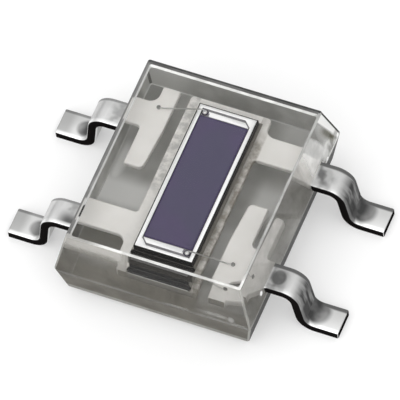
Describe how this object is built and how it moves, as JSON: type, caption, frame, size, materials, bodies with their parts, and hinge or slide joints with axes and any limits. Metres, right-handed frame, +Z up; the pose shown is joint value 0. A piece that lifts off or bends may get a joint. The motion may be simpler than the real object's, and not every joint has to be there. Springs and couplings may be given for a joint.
{
  "type": "photodiode",
  "caption": "Surface-mount photodiode: a long silicon chip on a leadframe, moulded in a clear tapered block with gull-wing leads.",
  "frame": {"origin": "under the block's centre, in the plane of the four solder feet", "axes": "+X across the package towards the right-hand leads, +Y along the chip, +Z up out of the light-sensitive face"},
  "size_m": [0.0072, 0.005, 0.002],
  "materials": {
    "clear_epoxy": "clear polished epoxy",
    "plated_frame": "silver-plated inside, tin-plated leads",
    "silver_glue": "silver-filled epoxy glue",
    "silicon": "sawn silicon",
    "coated_window": "violet anti-reflection coating",
    "chip_metal": "bright aluminium film",
    "bonding_wire": "drawn grey wire"
  },
  "bodies": {
    "root": {"resin_body": "clear_epoxy", "cathode_leadframe": "plated_frame", "anode_lead_left": "plated_frame", "anode_lead_right": "plated_frame", "die_attach": "silver_glue", "photodiode_chip": "silicon", "active_window": "coated_window", "guard_ring": "chip_metal", "contact_strip_far": "chip_metal", "contact_strip_near": "chip_metal", "bond_wire_left": "bonding_wire", "bond_wire_right": "bonding_wire"}
  },
  "joints": []
}
